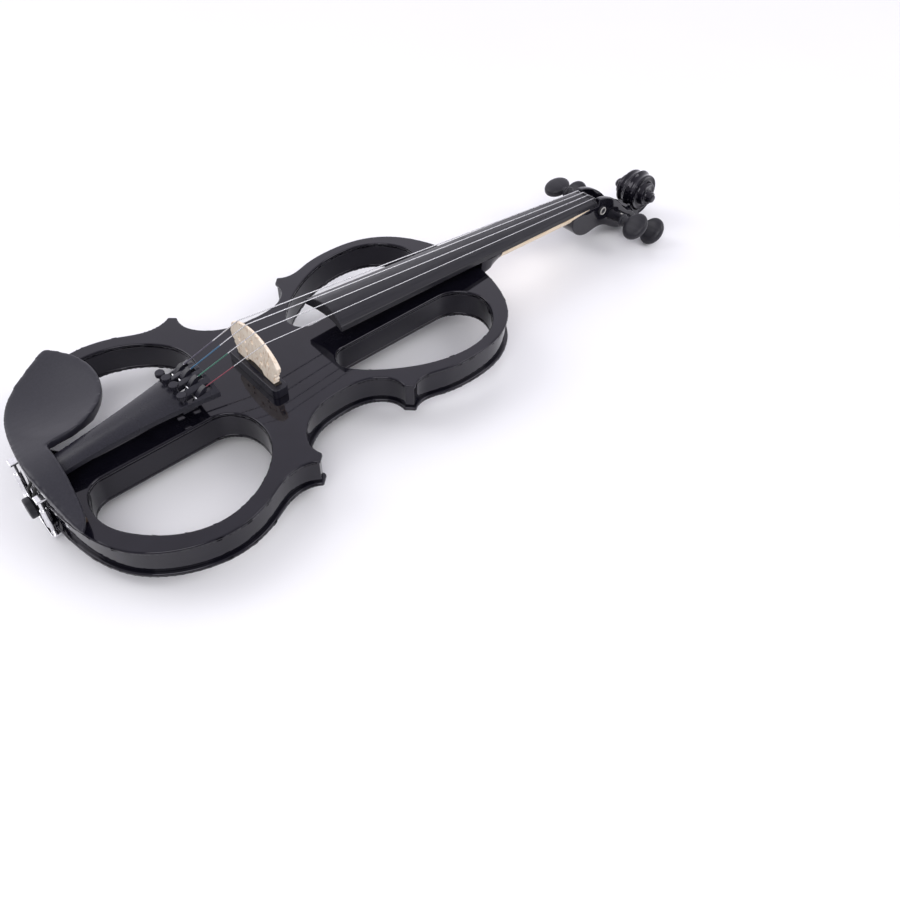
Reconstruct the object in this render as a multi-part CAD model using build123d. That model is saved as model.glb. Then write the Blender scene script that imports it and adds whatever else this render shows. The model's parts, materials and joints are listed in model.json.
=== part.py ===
from build123d import *
import math
import os

# An openwork electric violin, full size, in millimetres.
# It is drawn in the body's own frame: +X is the treble side, +Y runs from the tail to the scroll,
# Z = 0 is the outside of the back plate. At the end every piece is turned and moved together, so that
# the violin lies on its chin-rest clamp and the back of its scroll, with the floor at Z = 0.

# ---- body ----
BODY_END_Y = 353.5
TOP_Z = 22.5
PLATE = 3.0
RIB_INSET = 1.4
BACK_OVERHANG = 1.0
CORE_TOP_Z = TOP_Z - PLATE
RIB_MID_Z = 11.0

# ---- strings, bridge, nut ----
NAMES = ("g", "d", "a", "e")
STRING_R = {"g": 0.40, "d": 0.36, "a": 0.32, "e": 0.25}
BRIDGE_Y = 160.0
NUT_Y = 485.3
STRING_Z_BRIDGE = 59.6
STRING_Z_NUT = 27.1
ARCH_R = 42.0
BRIDGE_STEP = 10.6
NUT_STEP = 5.5
TUNER_STEP = 9.2

# ---- neck and fingerboard ----
BOARD_START_Y = 216.0
BOARD_END_Y = 484.0
BOARD_HALF_WIDE = 21.0
BOARD_HALF_NUT = 12.0
BOARD_TOP_START = 48.6
BOARD_TOP_NUT = 26.2
BOARD_LOW_START = 38.6
BOARD_LOW_NUT = 20.2
HEAD_START_Y = 458.0
NUT_BACK_Y = 488.6
WEDGE_LOW_Z = 18.6
WEDGE_END_Y = 478.0
CHIN_TIP_Z = 13.0

# ---- head ----
EYE_Y = 554.0
EYE_Z = 3.0
SCROLL_R = 17.75
SCROLL_WIND = 0.06
SCROLL_HALF = 8.0
HEAD_LOW_Y = 552.0
HEAD_LOW_Z = -19.0
CHEEK_HALF = 12.6
CHEEK_HALF_END = 10.6
CAVITY_HALF = 8.6
CAVITY_HALF_END = 6.4
PEG_Y = {"g": 494.3, "e": 507.3, "d": 520.3, "a": 533.3}
PEG_Z = {"g": 13.4, "e": 4.6, "d": -3.0, "a": -10.9}
PEG_TURN = {"g": 10.0, "e": 40.0, "d": 43.0, "a": 48.0}
PEG_R = 3.7
PEG_BORE_R = 3.75
PEG_TIP_X = 13.2
COLLAR_X = 24.0
PEG_HEAD_X = 38.5
THUMB_HALF_X = 9.8
THUMB_HALF_WIDE = 11.8
THUMB_THICK = 9.6
WINDING_R = 4.3

# ---- tail ----
SADDLE_HALF = 16.5
SADDLE_DEEP = 6.5
BUTTON_R = 7.0
GUT_R = 1.0
TAIL_START_Y = 9.0
TAIL_END_Y = 121.0
TUNER_PIN_Y = 107.0
TUNER_SCREW_Y = 98.5
TUNER_ARCH_R = 40.0
TUNER_TOP_Z = 46.0
TUNER_PIN_DROP = 3.0
KNOB_R = 3.2
STRING_START_Y = 115.2

# ---- chin rest and its clamp ----
REST_UNDER_Z = 28.5
REST_FOOT_Z = 25.0
REST_FEET = ((-46, -20), (21, 44))
CLAMP_Y = -2.6
CLAMP_X = {"left": -25.0, "right": 14.0}
CLAMP_HALF = 2.6
BARREL_R = 2.4
STUD_R = 1.5
CLAMP_FOOT_LOW_Z = -4.4
CLAMP_FOOT_TOP_Z = -2.4

# ---- electronics ----
JACK_Y = 174.0
PHONE_Y = 188.0
KNOB_X = -13.0
KNOB_Y = {"volume": 152.0, "tone": 184.0}
DIAL_R = 6.2
SHAFT_R = 1.6
DOOR_HINGE_Y = 137.0
RUN = 0.05
GAP = 0.3


def fraction(y, start, end):
    return (y - start) / (end - start)


def mix(a, b, t):
    return a + (b - a) * t


def board_low(y):
    """Height of the flat underside of the fingerboard."""
    return mix(BOARD_LOW_START, BOARD_LOW_NUT, fraction(y, BOARD_START_Y, BOARD_END_Y))


def board_top(y):
    """Height of the fingerboard's crown."""
    return mix(BOARD_TOP_START, BOARD_TOP_NUT, fraction(y, BOARD_START_Y, BOARD_END_Y))


def board_half(y):
    return mix(BOARD_HALF_WIDE, BOARD_HALF_NUT, fraction(y, BOARD_START_Y, BOARD_END_Y))


def sagitta(radius, x):
    return radius - math.sqrt(radius * radius - x * x)


def side(name):
    """-1 for the two bass strings' pegs, +1 for the two treble ones."""
    return -1 if name in ("g", "d") else 1


def lane(name, step):
    """Sideways place of a string where the four of them are one step apart."""
    return (NAMES.index(name) - 1.5) * step


def prism_x(face, x0, x1):
    """Extrude a profile drawn as (y, z) from x0 to x1."""
    return extrude(Plane.YZ.offset(x0) * face, amount=x1 - x0)


def prism_y(face, y0, y1):
    """Extrude a profile drawn as (x, z) from y0 to y1."""
    return extrude(Plane.XZ.offset(-y0) * face, amount=y0 - y1)


def prism_z(face, z0, z1):
    """Extrude a profile drawn as (x, y) from z0 to z1."""
    return extrude(Plane.XY.offset(z0) * face, amount=z1 - z0)


def rod_x(radius, x0, x1, y, z):
    return prism_x(Pos(y, z) * Circle(radius), x0, x1)


def rod_y(radius, y0, y1, x, z):
    return prism_y(Pos(x, z) * Circle(radius), y0, y1)


def rod_z(radius, z0, z1, x, y):
    return prism_z(Pos(x, y) * Circle(radius), z0, z1)


def block(x0, x1, y0, y1, z0, z1):
    return Pos((x0 + x1) / 2, (y0 + y1) / 2, (z0 + z1) / 2) * Box(x1 - x0, y1 - y0, z1 - z0)


def polygon(*points):
    return make_face(Polyline(*points, close=True))


def mirrored(edges):
    return [mirror(edge, Plane.YZ) for edge in edges]


# The treble half of the body's outline, from the tail to the neck.
LOWER_BOUT = [
    (0, 0), (40, 4), (78, 20), (99.5, 50), (104.9, 76), (98.5, 104), (90.5, 122), (90, 134), (94, 143),
]
WAIST = [(89.5, 148), (80, 146.4), (66, 153), (54.5, 170), (51.5, 190), (56, 214), (65, 223.2), (76, 225)]
UPPER_BOUT = [
    (81, 230), (77.3, 240), (81, 256), (84, 283), (80.5, 307), (68.5, 328), (45, 344.5), (14, BODY_END_Y),
]


def grown(points, distance):
    """Move each point outward, square to the line through its neighbours; the neck end stays where it is."""
    before = [(-points[1][0], points[1][1])] + points[:-1]
    after = points[1:] + [(-points[-1][0], points[-1][1])]
    moved = []
    for (x0, y0), (x, y), (x1, y1) in zip(before, points, after):
        length = math.hypot(x1 - x0, y1 - y0)
        moved.append((x + distance * (y1 - y0) / length, y - distance * (x1 - x0) / length))
    moved[-1] = points[-1]
    return moved


def body_outline(overhang=0.0):
    points = grown(LOWER_BOUT + WAIST + UPPER_BOUT, overhang)
    lower = points[:len(LOWER_BOUT)]
    waist = points[len(LOWER_BOUT):-len(UPPER_BOUT)]
    upper = points[-len(UPPER_BOUT):]
    lower_left = [(-x, y) for x, y in reversed(lower[1:])]
    right_side = [Line(lower[-1], waist[0]), Spline(*waist), Line(waist[-1], upper[0]), Spline(*upper)]
    end = Line(upper[-1], (-upper[-1][0], upper[-1][1]))
    return make_face([Spline(*lower_left, *lower), *right_side, end, *mirrored(right_side)])


def lower_hole():
    round_side = Spline(
        (17, 112), (19.5, 120.5), (27, 128.5), (41, 132.8), (59, 130), (79, 114.5), (91.5, 91), (93.6, 73),
        (87.5, 52), (72, 32.5), (52, 20), (35, 18.8), (22.5, 23.5), (17, 34),
    )
    return make_face([round_side, Line((17, 34), (17, 112))])


def upper_hole():
    round_side = Spline(
        (17.5, 220), (21, 209.5), (31, 206), (43, 213), (59, 233), (70.5, 256), (75.5, 286),
        (70, 309), (54, 325),
        (37, 328.5), (24, 321), (18, 305),
    )
    return make_face([round_side, Line((18, 305), (17.5, 220))])


def with_openings(outline):
    """The outline with its four through openings, two on each side of the middle bar."""
    for hole in (lower_hole(), upper_hole()):
        outline = outline - hole - mirror(hole, Plane.YZ)
    return outline


CONTROL_CAVITY = (-44, -3, 138, 202)
BATTERY_POCKET = (1, 29.5, 137, 187)


def make_top_plate():
    plate = prism_z(with_openings(body_outline()), CORE_TOP_Z, TOP_Z)
    notch = block(-SADDLE_HALF, SADDLE_HALF, -5, SADDLE_DEEP, CORE_TOP_Z - 1, TOP_Z + 1)
    return plate - notch


def make_body_core():
    core = prism_z(with_openings(body_outline(-RIB_INSET)), PLATE, CORE_TOP_Z)
    core -= block(*CONTROL_CAVITY, PLATE - 1, CORE_TOP_Z + 1)
    core -= block(*BATTERY_POCKET, PLATE - 1, CORE_TOP_Z + 1)
    core -= block(-4, 2, 150, 158, 8, 14)
    core -= rod_x(5.2, -60, -40, JACK_Y, RIB_MID_Z)
    core -= rod_x(3.1, -60, -40, PHONE_Y, RIB_MID_Z)
    core -= rod_x(8.2, -60, -51.5, JACK_Y, RIB_MID_Z)
    core -= rod_y(3.5, -5, 24, 0, RIB_MID_Z)
    return core


def make_back_plate():
    plate = prism_z(with_openings(body_outline(BACK_OVERHANG)), 0, PLATE)
    plate -= block(*CONTROL_CAVITY, -1, PLATE + 1)
    plate -= block(*BATTERY_POCKET, -1, PLATE + 1)
    return plate


def neck_section(y, half, top, deep):
    """A D-shaped slice of the neck: flat under the fingerboard, round where the hand goes."""
    belly = Spline(
        (-half, top), (-0.86 * half, top - 0.52 * deep), (0, top - deep),
        (0.86 * half, top - 0.52 * deep), (half, top),
        tangents=((0, -1), (0, 1)),
    )
    return Plane.XZ.offset(-y) * make_face([belly, Line((half, top), (-half, top))])


def make_neck():
    handle_end = 374.0
    handle = loft([
        neck_section(HEAD_START_Y, board_half(HEAD_START_Y), board_low(HEAD_START_Y), 12.0),
        neck_section(handle_end, board_half(handle_end), board_low(handle_end), 13.5),
    ], ruled=True)
    heel = loft([
        neck_section(handle_end, board_half(handle_end), board_low(handle_end), 13.5),
        neck_section(366, board_half(366), board_low(366), 15.5),
        neck_section(359, board_half(359), board_low(359), 22.0),
        neck_section(BODY_END_Y, 14.5, board_low(BODY_END_Y), board_low(BODY_END_Y) - 0.4),
    ])
    tongue = prism_x(neck_wedge(), -BOARD_HALF_NUT, BOARD_HALF_NUT)
    return handle + heel + tongue


def make_fingerboard():
    slices = []
    for y in (BOARD_START_Y, BOARD_END_Y):
        half = board_half(y)
        edge = board_top(y) - sagitta(ARCH_R, half)
        crown = ThreePointArc((-half, edge), (0, board_top(y)), (half, edge))
        under = Polyline((half, edge), (half, board_low(y)), (-half, board_low(y)), (-half, edge))
        slices.append(Plane.XZ.offset(-y) * make_face([crown, under]))
    board = loft(slices, ruled=True)
    end_curve_r = 75.0
    end_sag = 3.0
    board -= rod_z(end_curve_r, 30, 60, 0, BOARD_START_Y + end_sag - end_curve_r)
    return board


def make_nut():
    half = BOARD_HALF_NUT
    profile = polygon(
        (BOARD_END_Y, board_low(BOARD_END_Y)), (BOARD_END_Y, 26.2), (NUT_Y - 0.7, 26.6), (NUT_Y - 0.2, 26.5),
        (NUT_BACK_Y - 0.6, 20.9), (NUT_BACK_Y, board_low(NUT_BACK_Y)),
    )
    crown = ThreePointArc((-half, 24.4), (0, 26.4), (half, 24.4))
    under = Polyline((half, 24.4), (half, 18), (-half, 18), (-half, 24.4))
    arched = prism_y(make_face([crown, under]), BOARD_END_Y - 1, NUT_BACK_Y + 1)
    return prism_x(profile, -half, half) & arched


def make_saddle():
    hump = ThreePointArc((0.2, 23.8), (2.6, 26.4), (SADDLE_DEEP, 23.2))
    base = Polyline((SADDLE_DEEP, 23.2), (SADDLE_DEEP, CORE_TOP_Z), (0.2, CORE_TOP_Z), (0.2, 23.8))
    return prism_x(make_face([hump, base]), -SADDLE_HALF, SADDLE_HALF)


def make_end_button():
    shank = rod_y(3.48, -2, 22, 0, RIB_MID_Z)
    throat = rod_y(4.2, -4.6, 1.2, 0, RIB_MID_Z)
    rim = rod_y(BUTTON_R, -9.5, -4.6, 0, RIB_MID_Z)
    rim = fillet(rim.edges(), 1.2)
    return shank + throat + rim


def tail_section(y, half, top, drop, thick):
    crown = ThreePointArc((-half, top - drop), (0, top), (half, top - drop))
    under = ThreePointArc((-half, top - drop - thick), (0, top - thick), (half, top - drop - thick))
    right = Line((half, top - drop), (half, top - drop - thick))
    left = Line((-half, top - drop), (-half, top - drop - thick))
    return Plane.XZ.offset(-y) * make_face([crown, right, under, left])


def tuner_place(name):
    """Sideways place of a fine tuner and the height of the tailpiece's crown there."""
    x = lane(name, TUNER_STEP)
    return x, TUNER_TOP_Z - sagitta(TUNER_ARCH_R, x)


def make_tailpiece():
    body = loft([
        tail_section(TAIL_START_Y, 8.5, 33.6, 2.0, 3.6),
        tail_section(55, 10.8, 39.0, 2.2, 3.8),
        tail_section(TAIL_END_Y, 21.0, 47.4, 5.0, 4.2),
    ])
    for name in NAMES:
        x, top = tuner_place(name)
        body -= block(x - 2.3, x + 2.3, 101, 118, 30, 60)
        body -= rod_z(1.35, 30, 60, x, TUNER_SCREW_Y)
        body -= rod_x(1.0, x - 3.6, x + 3.6, TUNER_PIN_Y, top - TUNER_PIN_DROP)
    for x in (-3, 3):
        body -= rod_y(GUT_R + 0.02, 0, 20, x, 30.9)
    return body


def make_tuner_lever(name):
    x, top = tuner_place(name)
    outline = polygon(
        (96, top - 9.2), (96, top - 7.5), (103.5, top - 7.5), (108, top - 0.8), (112, top + 2.6),
        (114.8, top + 3.4), (114.8, top + 0.4), (111, top - 4.6), (106, top - 9.2),
    )
    return prism_x(outline, x - 1.8, x + 1.8) - rod_x(1.05, x - 3, x + 3, TUNER_PIN_Y, top - TUNER_PIN_DROP)


def make_tuner_screw(name):
    x, top = tuner_place(name)
    stem = rod_z(1.3, top - 7.2, top + 2.4, x, TUNER_SCREW_Y)
    knob = rod_z(KNOB_R, top + 2.2, top + 5.4, x, TUNER_SCREW_Y)
    knob = fillet(knob.edges(), 0.6)
    flutes = 12
    reach = KNOB_R + 0.15
    for i in range(flutes):
        angle = 2 * math.pi * i / flutes
        knob -= rod_z(0.4, top, top + 7, x + reach * math.cos(angle), TUNER_SCREW_Y + reach * math.sin(angle))
    return stem + knob


def make_tuner_pins():
    pins = []
    for name in NAMES:
        x, top = tuner_place(name)
        pins.append(rod_x(0.99, x - 3.5, x + 3.5, TUNER_PIN_Y, top - TUNER_PIN_DROP))
    return Compound(children=pins)


BASE_Z = 29.5
STRIP = 0.8
BRIDGE_FOOT_Z = BASE_Z + STRIP
FOOT_OFFSET = 4.0
STRING_SEAT = 0.70
BRIDGE_HOLE_R = 1.5


def make_pickup_base():
    base = block(-25.5, 31.5, BRIDGE_Y - 7.2, BRIDGE_Y + 4.4, TOP_Z, BASE_Z)
    base = fillet(base.edges().filter_by(Axis.Z), 3.5)
    return fillet(base.edges().group_by(Axis.Z)[-1], 0.8)


def make_piezo_strip():
    return block(-19.5, 27.5, BRIDGE_Y - 3.4, BRIDGE_Y + 1.4, BASE_Z, BRIDGE_FOOT_Z)


def bridge_lean(z):
    """The bridge stands a little to the treble side, more at its feet than at its crown."""
    return mix(FOOT_OFFSET, 1.0, fraction(z, BRIDGE_FOOT_Z, STRING_Z_BRIDGE))


def make_bridge():
    crown_z = STRING_Z_BRIDGE - STRING_SEAT
    crown_r = ARCH_R - STRING_SEAT
    shoulder_z = crown_z - sagitta(crown_r, 25)
    right = [
        (25, shoulder_z), (27.6, 44.5), (26.4, 40.6), (23.4, 39.2), (24.4, 37.6), (22.4, 35.4), (23, 33.6),
        (21.5, 32.6), (21.5, BRIDGE_FOOT_Z), (10, BRIDGE_FOOT_Z), (8.5, 33.4), (0, 34.4),
    ]
    left = [(bridge_lean(z) - x, z) for x, z in right]
    right = [(bridge_lean(z) + x, z) for x, z in right]
    left[0], right[0] = [(x, crown_z - sagitta(crown_r, x)) for x in (left[0][0], right[0][0])]
    crown = ThreePointArc(left[0], (0, crown_z), right[0])
    outline = make_face([crown, Polyline(*right), Polyline(*left)])
    for x, z in ((0, 50), (17, 43.5), (-17, 43.5), (9.5, 46), (-9.5, 46), (9, 39.5), (-9, 39.5)):
        outline -= Pos(x + bridge_lean(z), z) * Circle(BRIDGE_HOLE_R)
    blank = prism_y(outline, BRIDGE_Y - 3.4, BRIDGE_Y + 1.2)
    thinned_front = polygon(
        (BRIDGE_Y - 4, 45), (BRIDGE_Y - 3.4, 33), (BRIDGE_Y - 0.9, 59), (BRIDGE_Y - 0.9, 62),
        (BRIDGE_Y - 4, 62),
    )
    thinned_back = polygon(
        (BRIDGE_Y + 1.3, 33), (BRIDGE_Y + 0.8, 59), (BRIDGE_Y + 0.8, 62), (BRIDGE_Y + 2, 62),
    )
    return blank - prism_x(thinned_front, -40, 40) - prism_x(thinned_back, -40, 40)


def string_height(name, z, lane_step):
    return z - sagitta(ARCH_R, lane(name, lane_step))


def winding_x(name):
    """Sideways place of a string's turns on its peg, drawn in towards the middle of the pegbox."""
    return 0.6 * lane(name, NUT_STEP)


def make_string(name):
    """One string from its tuner's hook over the bridge and the nut to just above its winding."""
    radius = STRING_R[name]
    x_tuner, top = tuner_place(name)
    start = (x_tuner, STRING_START_Y, top + 1.9)
    over_bridge = (lane(name, BRIDGE_STEP), BRIDGE_Y, string_height(name, STRING_Z_BRIDGE, BRIDGE_STEP))
    over_nut = (lane(name, NUT_STEP), NUT_Y, string_height(name, STRING_Z_NUT, NUT_STEP) + 0.05)
    clear = WINDING_R + radius + GAP
    end = (winding_x(name), PEG_Y[name] - 1.5, PEG_Z[name] + clear)
    path = FilletPolyline(start, over_bridge, over_nut, end, radius=(8.0, 2.0))
    section = Plane(origin=start, z_dir=path % 0) * Circle(radius)
    return sweep(section, path=path)


def make_winding(name):
    """The string's turns on its peg, as one sleeve."""
    x = winding_x(name)
    y = PEG_Y[name]
    z = PEG_Z[name]
    return rod_x(WINDING_R, x - 1.6, x + 1.6, y, z) - rod_x(PEG_R + 0.02, x - 2, x + 2, y, z)


def make_peg(name):
    y = PEG_Y[name]
    z = PEG_Z[name]
    s = side(name)
    shank = rod_x(PEG_R, *sorted((-s * PEG_TIP_X, s * COLLAR_X)), y, z)
    collar = fillet(rod_x(5.4, *sorted((s * COLLAR_X, s * (COLLAR_X + 3))), y, z).edges(), 1.0)
    throat = rod_x(3.6, *sorted((s * (COLLAR_X + 2), s * PEG_HEAD_X)), y, z)
    oval = extrude(Ellipse(THUMB_HALF_X, THUMB_HALF_WIDE), amount=THUMB_THICK / 2, both=True)
    thumb = fillet(oval.edges(), 3.6)
    return shank + collar + throat + Pos(s * PEG_HEAD_X, y, z) * Rot(PEG_TURN[name], 0, 0) * thumb


def make_peg_eye(name):
    """The pearl dot on the peg's thin end, outside the cheek."""
    s = side(name)
    return rod_x(2.4, *sorted((-s * PEG_TIP_X, -s * (PEG_TIP_X + 0.9))), PEG_Y[name], PEG_Z[name])


def neck_wedge():
    """The thin tongue of bare neck wood that runs on under the fingerboard above the black chin."""
    return polygon(
        (HEAD_START_Y - 1, board_low(HEAD_START_Y - 1)), (HEAD_START_Y - 1, WEDGE_LOW_Z),
        (HEAD_START_Y, WEDGE_LOW_Z),
        (WEDGE_END_Y, board_low(WEDGE_END_Y) - 0.2), (WEDGE_END_Y, board_low(WEDGE_END_Y)),
    )


def scroll_outline():
    """Side view of the scroll's outer turn, which winds in as it rises: (y, z) points about the eye."""
    points = []
    for degrees in range(-100, 221, 32):
        turn = math.radians(degrees)
        reach = SCROLL_R * math.exp(SCROLL_WIND * (math.pi / 2 - turn))
        points.append((EYE_Y + reach * math.cos(turn), EYE_Z + reach * math.sin(turn)))
    return points


def make_head():
    """Chin, pegbox and scroll, one piece of wood."""
    top_line = Polyline(
        (HEAD_START_Y, CHIN_TIP_Z), (HEAD_START_Y, WEDGE_LOW_Z), (WEDGE_END_Y, board_low(WEDGE_END_Y) - 0.2),
        (WEDGE_END_Y, board_low(WEDGE_END_Y)), (NUT_BACK_Y, board_low(NUT_BACK_Y)), (NUT_BACK_Y, 26.0),
    )
    cheek = Spline((NUT_BACK_Y, 26.0), (502, 22.2), (517, 12.0), (532, -2.0), (540, -6.0))
    close = Line((540, -6.0), (HEAD_LOW_Y, HEAD_LOW_Z))
    back = Spline(
        (HEAD_LOW_Y, HEAD_LOW_Z), (539, -18.8), (526, -16.2), (512, -10.2), (499, -2.6),
        (488, -0.6), (478, -2.0),
        (468, 0.6), (461, 6.6), (HEAD_START_Y, CHIN_TIP_Z),
    )
    profile = make_face([top_line, cheek, close, back])
    pegbox = prism_x(profile, -CHEEK_HALF, CHEEK_HALF)
    plan = polygon(
        (-BOARD_HALF_NUT - 1, HEAD_START_Y - 5), (BOARD_HALF_NUT + 1, HEAD_START_Y - 5), (CHEEK_HALF, 490),
        (CHEEK_HALF_END, 560), (-CHEEK_HALF_END, 560), (-CHEEK_HALF, 490),
    )
    pegbox &= prism_z(plan, -60, 60)
    outer_turn = scroll_outline()
    profile = make_face([Spline(*outer_turn), Line(outer_turn[-1], outer_turn[0])])
    scroll = prism_x(profile, -SCROLL_HALF, SCROLL_HALF)
    for radius, half, y, z in ((14.5, 11.5, 554.5, 3.0), (9.5, 15.5, 554.5, 2.6), (3.6, 19.9, EYE_Y, EYE_Z)):
        scroll += fillet(rod_x(radius, -half, half, y, z).edges(), 1.2)
    head = pegbox + scroll
    trough = polygon(
        (NUT_BACK_Y, 40), (NUT_BACK_Y, 5.5), (500, 2.6), (513, -5.4), (526, -13.8), (533, -16.2),
        (539.5, -13.6), (539.0, -8.5), (530.5, 4.0), (520, 40),
    )
    trough_plan = polygon(
        (-CAVITY_HALF, 480), (CAVITY_HALF, 480), (CAVITY_HALF_END, 545), (-CAVITY_HALF_END, 545),
    )
    head -= prism_x(trough, -20, 20) & prism_z(trough_plan, -60, 60)
    for name in NAMES:
        head -= rod_x(PEG_BORE_R, -20, 20, PEG_Y[name], PEG_Z[name])
    return head


def make_tailgut():
    """The loop that ties the tailpiece to the end button, over the saddle."""
    right = [
        (3, 18, 30.9), (3, 6.0, 30.9), (3.2, 0.4, 26.8), (3.8, -3.0, 22.0), (5.6, -3.0, 11.0),
        (3.6, -3.0, 5.4),
    ]
    left = [(-x, y, z) for x, y, z in reversed(right)]
    path = FilletPolyline(*right, *left, radius=(5, 5, 5, 8, 2.2, 2.2, 8, 5, 5, 5))
    section = Plane(origin=right[0], z_dir=path % 0) * Circle(GUT_R)
    return sweep(section, path=path)


def make_chin_rest():
    """A dished plate on the bass side with an arm that arches over the tailpiece's end."""
    inner = Spline((57.5, 6.0), (51, 11.0), (38, 14.4), (18, 17.0), (-13, 18.5))
    notch = Line((-13, 18.5), (-13.5, 31))
    cup = Spline(
        (-13.5, 31), (-21, 49), (-36, 64), (-53, 71.5), (-73, 73), (-91, 66.5), (-104.5, 56),
        tangents=((-0.1, 1), (-1, -0.7)),
    )
    rim = Spline(
        (-104.5, 56), (-92.5, 36.5), (-76, 17.5), (-56, 6.5), (-27, 0.8), (5, -1.2), (34, 2.0),
        (50, 4.2), (57.5, 6.0),
    )
    plan = make_face([inner, notch, cup, rim])
    dish = Spline(
        (-108, 36.5), (-84, 33.8), (-58, 33.2), (-30, 36.0), (-10, 40.0), (4, 41.4), (20, 39.5),
        (42, 35.0), (64, 31.5),
    )
    right_end = Line((64, 31.5), (64, REST_UNDER_Z))
    under_right = Line((64, REST_UNDER_Z), (24, REST_UNDER_Z))
    arch = ThreePointArc((24, REST_UNDER_Z), (0, 35.6), (-24, REST_UNDER_Z))
    under_left = Polyline((-24, REST_UNDER_Z), (-108, REST_UNDER_Z), (-108, 36.5))
    profile = make_face([dish, right_end, under_right, arch, under_left])
    plate = prism_z(plan, 20, 50) & prism_y(profile, -10, 80)
    for x0, x1 in REST_FEET:
        plate += block(x0, x1, 5.5, 13.5, REST_FOOT_Z, REST_UNDER_Z + 0.5)
    return plate


def make_chin_rest_corks():
    pads = [block(x0, x1, 5.5, 13.5, TOP_Z, REST_FOOT_Z) for x0, x1 in REST_FEET]
    return Compound(children=pads)


def make_clamp_hooks():
    """The two upper hooks: a tongue under the plate and a threaded stud that hangs from it."""
    hooks = []
    for x in CLAMP_X.values():
        low = REST_UNDER_Z - 1.6
        tongue = block(x - 3.2, x + 3.2, CLAMP_Y - 2.4, 5.2, low, REST_UNDER_Z - 0.02)
        hooks.append(tongue + rod_z(STUD_R, 13.0, low + 0.1, x, CLAMP_Y))
    return Compound(children=hooks)


def make_barrel(end):
    """A turnbuckle barrel with its cross hole for the tightening pin."""
    x = CLAMP_X[end]
    barrel = fillet(rod_z(BARREL_R, 4.0, 18.5, x, CLAMP_Y).edges(), 0.4)
    barrel -= rod_z(STUD_R + RUN, 0, 20, x, CLAMP_Y)
    return barrel - rod_y(0.8, CLAMP_Y - 5, CLAMP_Y + 5, x, 10.4)


def make_clamp_foot():
    """The lower bracket: two studs on one plate that reaches under the back."""
    left = CLAMP_X["left"]
    right = CLAMP_X["right"]
    bar = block(
        left - 4, right + 4, CLAMP_Y - CLAMP_HALF, CLAMP_Y + CLAMP_HALF,
        CLAMP_FOOT_LOW_Z, CLAMP_FOOT_TOP_Z,
    )
    foot = fillet(bar.edges().filter_by(Axis.Z), 2.0)
    for x in (left, right):
        foot += block(x - 3.6, x + 3.6, CLAMP_Y, 13, CLAMP_FOOT_LOW_Z, CLAMP_FOOT_TOP_Z)
        foot += rod_z(STUD_R, CLAMP_FOOT_TOP_Z - 0.5, 8.0, x, CLAMP_Y)
    return foot


def make_foot_corks():
    pads = [block(x - 3.6, x + 3.6, 3.0, 13, CLAMP_FOOT_TOP_Z, 0) for x in CLAMP_X.values()]
    return Compound(children=pads)


def make_socket(y, outer, bore, inner_x, washer):
    """A jack socket let into the bass-side waist: threaded barrel, washer and a plug hole."""
    barrel = rod_x(outer, -55, inner_x, y, RIB_MID_Z)
    flange = rod_x(washer, -53.2, -51.6, y, RIB_MID_Z)
    socket = fillet((barrel + flange).edges().group_by(Axis.X)[0], 0.3)
    return socket - rod_x(bore, -60, inner_x - 2, y, RIB_MID_Z)


def make_control_plate():
    x0, x1, y0, y1 = CONTROL_CAVITY
    plate = block(x0 + 0.1, x1 - 0.1, y0 + 0.1, y1 - 0.1, 0.2, PLATE - 0.2)
    for y in KNOB_Y.values():
        plate -= rod_z(3.1, -1, PLATE + 1, KNOB_X, y)
    for x, y in control_screw_places():
        plate -= rod_z(1.2, -1, PLATE + 1, x, y)
    return plate


def control_screw_places():
    x0, x1, y0, y1 = CONTROL_CAVITY
    return [(x, y) for x in (x0 + 4, x1 - 4) for y in (y0 + 4, y1 - 4)]


def make_control_posts():
    """Corner posts inside the cavity that the plate's screws bite into."""
    posts = []
    for x, y in control_screw_places():
        posts.append(rod_z(3.0, PLATE - 0.2, CORE_TOP_Z, x, y) - rod_z(1.2, 0, 12, x, y))
    return Compound(children=posts)


def make_control_screws():
    screws = []
    for x, y in control_screw_places():
        screw = rod_z(1.15, 0.0, 10, x, y) + rod_z(2.2, -0.9, 0.2, x, y)
        screws.append(screw - block(x - 2, x + 2, y - 0.3, y + 0.3, -1.2, -0.5))
    return Compound(children=screws)


def make_pot(name):
    """A potentiometer: its can, its bush through the control plate, and the bore its shaft turns in."""
    y = KNOB_Y[name]
    can = rod_z(7.5, PLATE + 0.6, 11.0, KNOB_X, y)
    bush = rod_z(2.95, 1.2, PLATE + 0.8, KNOB_X, y)
    return can + bush - rod_z(SHAFT_R + RUN, 0, 9.0, KNOB_X, y)


def make_knob(name):
    """A control knob with its shaft, which turns inside the potentiometer's bush."""
    y = KNOB_Y[name]
    knob = fillet(rod_z(DIAL_R, -5.6, -0.4, KNOB_X, y).edges(), 0.6)
    knob -= block(KNOB_X - 0.4, KNOB_X + 0.4, y + 2, y + 7, -6, -5)
    ribs = 18
    reach = DIAL_R + 0.2
    for i in range(ribs):
        angle = 2 * math.pi * i / ribs
        knob -= rod_z(0.45, -4.8, 0, KNOB_X + reach * math.cos(angle), y + reach * math.sin(angle))
    return knob + rod_z(SHAFT_R, -1, 8.6, KNOB_X, y)


def make_preamp_board():
    board = block(-34, -6, 146, 167, 12.6, 14.2)
    for x, y, wide, long, tall in ((-28, 151, 5, 6, 2), (-28, 161, 6, 8, 2.4), (-15, 152, 4, 4, 3)):
        board += block(x - wide / 2, x + wide / 2, y - long / 2, y + long / 2, 14.0, 14.2 + tall)
    return board


def make_battery():
    cell = block(2, 28.5, 138.2, 184.4, 2.0, 19.3)
    cell = fillet(cell.edges().filter_by(Axis.Y), 1.5)
    return cell + rod_y(2.8, 184.4, 186.6, 9, 11) + rod_y(3.4, 184.4, 186.6, 21.5, 11)


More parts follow.
